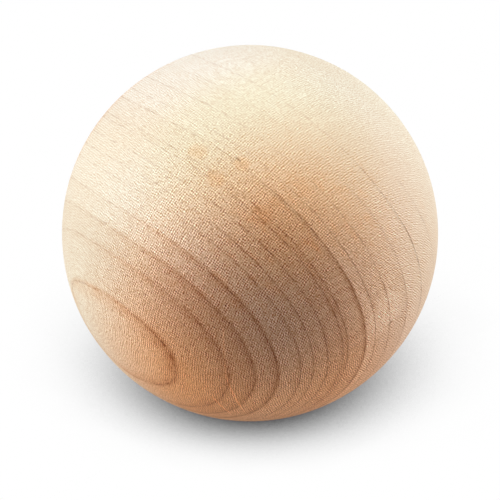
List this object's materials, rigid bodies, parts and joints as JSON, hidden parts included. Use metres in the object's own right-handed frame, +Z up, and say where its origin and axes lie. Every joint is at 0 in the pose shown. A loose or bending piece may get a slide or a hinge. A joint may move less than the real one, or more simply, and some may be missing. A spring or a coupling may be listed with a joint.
{
  "type": "wooden ball",
  "caption": "Solid turned ball of pale close-grained hardwood, for a bench, desk, handle or craft use.",
  "frame": {"origin": "centre of the ball", "axes": "+Z up, +Y away from the viewer, +X to the right"},
  "size_m": [0.0762, 0.0762, 0.0762],
  "materials": {
    "pale_hardwood": "sanded smooth to a soft, matt sheen, with growth rings, hair-fine lathe lines and fine pores"
  },
  "bodies": {
    "root": {"ball": "pale_hardwood"}
  },
  "joints": []
}
